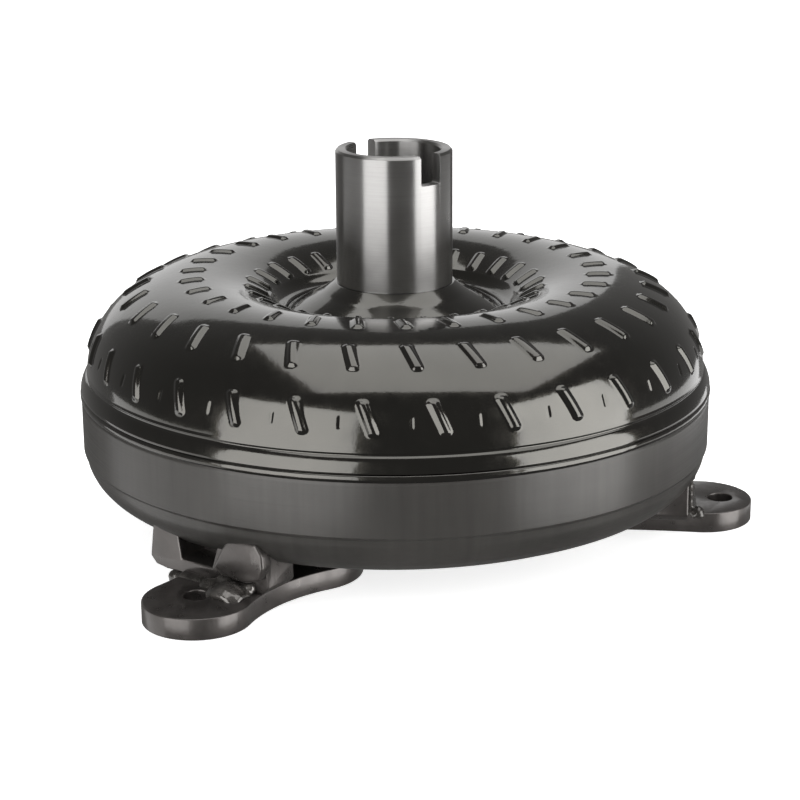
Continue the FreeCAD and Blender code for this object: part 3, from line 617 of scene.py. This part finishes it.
def plate_outline():
    """Dog-bone outline with its outer lobe's centre at the origin and the inner lobe towards -X."""
    sides = []
    for hollow in HOLLOWS:
        reach, far_reach = OUTER_LOBE + hollow, INNER_LOBE + hollow
        back = (reach**2 - far_reach**2 + LOBE_SPACING**2) / (2 * LOBE_SPACING)
        side = math.sqrt(reach**2 - back**2)
        lean_outer = math.degrees(math.atan2(side, -back))
        lean_inner = math.degrees(math.atan2(side, LOBE_SPACING - back))
        sides.append(
            arc_points((0, 0), OUTER_LOBE, 0, lean_outer)
            + arc_points((-back, side), hollow, lean_outer - 180, lean_inner - 180, 1.0)
            + arc_points((-LOBE_SPACING, 0), INNER_LOBE, lean_inner, 180))
    leading, trailing = sides
    return leading + [(-LOBE_SPACING - INNER_LOBE, 0.0)] + [(x, -y) for x, y in trailing[:0:-1]]


def mount_plate(index):
    azimuth = MOUNT_AZIMUTH + 120.0 * index
    name = "mount_plate_%d" % (index + 1)
    radius, turn = MOUNT_LOBES[index]
    shift = Matrix.Translation((radius, 0, 0)) @ Matrix.Rotation(math.radians(-PLATE_LEAN), 4, "Z")
    blank = mesh_of(prism(plate_outline(), 0.0, PLATE), name, turned_by(azimuth + turn) @ shift)
    piece = new_piece(name + "_sawn", blank, mount_black)
    rim = arc_points((BOLT_CIRCLE_RADIUS, 0), BOLT_HOLE_RADIUS, 0, 360, 6.0)
    cut(piece, mesh_of(prism(rim, -2.0, PLATE + 2.0), "hole", turned_by(azimuth)))
    bevelled(piece, 0.55, 3, 40.0)
    stands_for(piece, "mount_coating", name)


def leaning_prism(outline, low, high):
    """Prism from (across, z) points, running outwards from radius low to high along +X."""
    bm = prism(outline, low, high)
    swap = Matrix(((0, 0, 1, 0), (1, 0, 0, 0), (0, 1, 0, 0), (0, 0, 0, 1)))
    bmesh.ops.transform(bm, matrix=swap, verts=bm.verts)
    return bm


# (across, z) outlines of an upright's U, of the lug on its face and of the dark web behind its opening,
# which is painted shade: a dark block put where there is only the shade under the cover
BRACKET = (
    (-20.7, PLATE), (-26.3, 9.3), (-29.0, 12.2), (-25.0, 42.0), (-17.5, 42.0), (-12.9, 14.0),
    (2.3, 14.0), (11.5, 42.0), (28.5, 42.0), (30.2, 11.4), (27.0, PLATE))
LUG = (
    (6.2, 16.4), (10.6, 14.2), (16.6, 12.7), (22.2, 13.0), (28.6, 15.2), (30.2, 19.8), (29.8, 25.4),
    (26.8, 29.4), (13.6, 28.8), (10.4, 24.4))
# painted shade: this web blocks the view through the opening to the floor under the cover
SHADE_WEB = ((-14.5, 13.0), (4.5, 13.0), (4.5, 19.0), (-14.5, 19.0))
LUG_ROOT, LUG_FACE = 120.0, UPRIGHT_FACE + 3.7
SHADE_WEB_BACK, SHADE_WEB_FACE = 107.3, 109.0
# the cover's solid, shrunk and raised a little so that an upright sinks into it without a gap
COVER_SINK, COVER_RAISE = 0.25, 0.2


def cover_cutter():
    filled = [(0.05, 60.0), (129.6, 60.0), *COVER_UNDERSIDE, (0.05, 8.4)]
    outline = [(r - COVER_SINK if r > 1 else r, z + COVER_RAISE) for r, z in softened(filled)]
    return lathe("filled", outline[::-1], 160)


def mount_upright(index):
    placed = turned_by(UPRIGHT_AZIMUTH + 120.0 * index)
    name = "mount_upright_%d" % (index + 1)
    bracket = leaning_prism(BRACKET, UPRIGHT_BACK, UPRIGHT_FACE)
    piece = new_piece(name + "_cut", mesh_of(bracket, name, placed), mount_black)
    bevelled(piece, 0.7, 3, 25.0)
    lug = new_piece("lug", mesh_of(leaning_prism(LUG, LUG_ROOT, LUG_FACE), "lug", placed), mount_black)
    bevelled(lug, 1.1, 4, 20.0)
    lug_mesh = lug.data
    bpy.data.objects.remove(lug)
    cut(piece, lug_mesh, "UNION")
    # Dark web at the back of the opening: painted shade in place of the shadow under the cover
    cut(piece, mesh_of(leaning_prism(SHADE_WEB, SHADE_WEB_BACK, SHADE_WEB_FACE), "shade_web", placed), "UNION")
    cut(piece, cover_cutter())
    stands_for(piece, "mount_coating", name)


WELD_VOXEL, WELD_SMOOTHING = 0.5, 12


def lumps(name, spheres, azimuth):
    """Weld grown from a fillet and overlapping (r, across, z, radius) spheres, then smoothed."""
    bm = prism(FILLET, *FILLET_SPAN)
    swap = Matrix(((1, 0, 0, 0), (0, 0, 1, 0), (0, 1, 0, 0), (0, 0, 0, 1)))
    bmesh.ops.transform(bm, matrix=swap, verts=bm.verts)
    bmesh.ops.recalc_face_normals(bm, faces=bm.faces)
    for r, across, z, radius in spheres:
        place = Matrix.Translation((r, across, z))
        bmesh.ops.create_icosphere(bm, subdivisions=2, radius=radius, matrix=place)
    piece = new_piece(name, mesh_of(bm, name, turned_by(azimuth)), weld_bead)
    remesh = piece.modifiers.new("remesh", "REMESH")
    remesh.mode = "VOXEL"
    remesh.voxel_size = WELD_VOXEL * MM
    smooth = piece.modifiers.new("smooth", "SMOOTH")
    smooth.iterations = WELD_SMOOTHING
    applied(piece, 180.0)
    return piece


BEAD_PITCH = 0.6


def bead(start, end, radius, ripple):
    """Spheres along a line, swelling and shrinking as a hand-laid bead does."""
    start, end = Vector(start), Vector(end)
    count = max(2, int((end - start).length / BEAD_PITCH))
    spheres = []
    for step in range(count + 1):
        point = start.lerp(end, step / count)
        wave = math.sin(step * BEAD_PITCH * 1.9)
        swell = 1.0 + ripple * wave + ripple * noise.noise(point * 0.37)
        spheres.append((point.x, point.y, point.z, radius * swell))
    return spheres


def puddle(centre, reach, across, height, radius):
    """Spheres that fill a low mound lying on the plate."""
    spheres = []
    for step_r in range(-4, 5):
        for step_t in range(-5, 6):
            u, v = step_r / 4.0, step_t / 5.0
            room = 1.0 - u * u - v * v
            if room > 0:
                z = PLATE + height * math.sqrt(room) - radius
                spheres.append((centre[0] + reach * u, centre[1] + across * v, z, radius))
    return spheres


# (r, z) section of the fillet at an upright's foot, and where it runs from and to across the plate
FILLET = ((121.4, 7.6), (127.0, 7.6), (126.0, 8.8), (123.6, 9.7), (121.4, 9.9))
FILLET_SPAN = (-12.0, 23.0)
# (r, across, z) end points, radius and ripple of the beads on each mount
FOOT_RUNS = (
    ((121.6, -17.4, 5.9), (121.6, -12.6, 5.9), 2.7, 0.06),
    ((121.9, -17.2, 3.4), (121.9, -12.4, 3.4), 2.4, 0.06),
)
WELD_RUNS = (
    (((123.4, 8.0, 10.4), (123.4, 22.0, 10.4), 2.4, 0.08), *FOOT_RUNS),
    (((123.4, -14.4, 9.0), (122.9, -16.4, 25.0), 1.5, 0.05),
     ((123.4, 8.0, 10.4), (123.4, 20.0, 10.4), 2.0, 0.08)),
    (((123.4, -4.0, 10.4), (123.4, 18.0, 10.4), 2.4, 0.08), *FOOT_RUNS),
)
# (r, across) centre, half sizes, height and sphere radius of the puddles on each mount
WELD_PUDDLES = (
    (((129.3, 16.2), 6.6, 8.0, 4.6, 2.0), ((125.6, 5.5), 3.6, 5.0, 2.8, 1.6)),
    (((126.6, -14.6), 1.9, 2.2, 3.4, 1.5),),
    (((128.0, 12.0), 5.2, 9.0, 4.2, 2.0),),
)


def mount_weld(index):
    azimuth = UPRIGHT_AZIMUTH + 120.0 * index
    spheres = []
    for run in WELD_RUNS[index]:
        spheres += bead(*run)
    for pool in WELD_PUDDLES[index]:
        spheres += puddle(*pool)
    piece = lumps("mount_weld_%d_bead" % (index + 1), spheres, azimuth)
    stands_for(piece, "mount_weld_bead", "mount_weld_%d" % (index + 1))


for mount in range(3):
    mount_plate(mount)
    mount_upright(mount)
    mount_weld(mount)


# --- floor, lights and camera, in metres ----------------------------------------------------------
FLOOR_SIZE, FLOOR_GAP, FLOOR_GLOW = 9.0, 0.0002, 0.74
FILL_STRENGTH, FILL_SPREAD = 1.2, 110.0
# azimuth, half of the angle it spans as seen from the axis, lowest and highest z, and brightness
WALLS = {
    "left_softbox": (-37.6, 24.3, -0.5, 1.02, 2.8),
    "right_softbox": (64.2, 22.7, -0.5, 0.95, 3.6),
    "left_floor_glow": (-92.0, 27.0, -1.1, -0.12, 0.95),
    "right_floor_glow": (118.0, 28.0, -0.34, -0.12, 0.95),
    "back_panel": (-170.0, 24.0, 0.05, 1.0, 0.55),
}
WALL_DISTANCE = 1.3
STUDIO_GREY = (0.15, 0.147, 0.143, 1)
LENS = 99.56
CAMERA_PLACE = (0.0019, -0.887, 0.3191)
CAMERA_PITCH, CAMERA_ROLL = 73.10, -0.34


def floor():
    bm = bmesh.new()
    bmesh.ops.create_grid(bm, x_segments=8, y_segments=8, size=FLOOR_SIZE)
    mesh = mesh_of(bm, "floor", Matrix.Translation((0, 0, cad_low.z - FLOOR_GAP)))
    n = Nodes("floor_white")
    n.set(Specular_IOR_Level=0.2, Emission_Color=(1, 1, 1, 1), Emission_Strength=FLOOR_GLOW)
    n.colour(n.ramp(n.noise(3.0, 2.0), (0.3, 0.90), (0.7, 0.92)))
    n.roughness(n.ramp(n.noise(9.0, 2.0), (0.3, 0.75), (0.7, 0.85)))
    piece = new_piece("floor", mesh, n.material)
    piece.visible_glossy = False
    piece.visible_shadow = False


def softbox(name, centre, aim, width, height, radiance):
    """Soft light panel of an even brightness, which the camera doesn't see."""
    light = bpy.data.lights.new(name, "AREA")
    light.shape = "RECTANGLE"
    light.size = width
    light.size_y = height
    light.energy = radiance * math.pi * width * height
    lamp = bpy.data.objects.new(name, light)
    lamp.location = centre
    lamp.rotation_euler = (Vector(aim) - Vector(centre)).to_track_quat("-Z", "Y").to_euler()
    lamp.visible_camera = False
    scene.collection.objects.link(lamp)


def wall(name, azimuth, half_angle, low, high, radiance):
    """Upright panel that faces the axis from an azimuth."""
    mid = (low + high) / 2
    turn = math.radians(azimuth)
    centre = (WALL_DISTANCE * math.sin(turn), -WALL_DISTANCE * math.cos(turn), mid)
    width = 2 * WALL_DISTANCE * math.tan(math.radians(half_angle))
    softbox(name, centre, (0, 0, mid), width, high - low, radiance)


floor()
for panel, setting in WALLS.items():
    wall(panel, *setting)
fill = bpy.data.lights.new("floor_fill", "SUN")
fill.energy = FILL_STRENGTH
fill.angle = math.radians(FILL_SPREAD)
fill_lamp = bpy.data.objects.new("floor_fill", fill)
fill_lamp.visible_glossy = False
scene.collection.objects.link(fill_lamp)
softbox("overhead_softbox", (0.21, -0.05, 1.0), (0.21, -0.05, 0.0), 1.28, 1.05, 1.78)

world = bpy.data.worlds.new("studio")
scene.world = world
world.use_nodes = True
nodes = world.node_tree.nodes
path = nodes.new("ShaderNodeLightPath")
mix = nodes.new("ShaderNodeMix")
mix.data_type = "RGBA"
mix.inputs["A"].default_value = STUDIO_GREY
mix.inputs["B"].default_value = (1, 1, 1, 1)
world.node_tree.links.new(path.outputs["Is Camera Ray"], mix.inputs["Factor"])
world.node_tree.links.new(mix.outputs["Result"], nodes["Background"].inputs["Color"])
scene.view_settings.view_transform = "Standard"

camera_data = bpy.data.cameras.new("camera")
camera_data.sensor_width = 36.0
camera_data.lens = LENS
camera = bpy.data.objects.new("camera", camera_data)
scene.collection.objects.link(camera)
camera.matrix_world = (
    Matrix.Translation(CAMERA_PLACE)
    @ Matrix.Rotation(math.radians(CAMERA_PITCH), 4, "X")
    @ Matrix.Rotation(math.radians(CAMERA_ROLL), 4, "Z")
)
scene.camera = camera
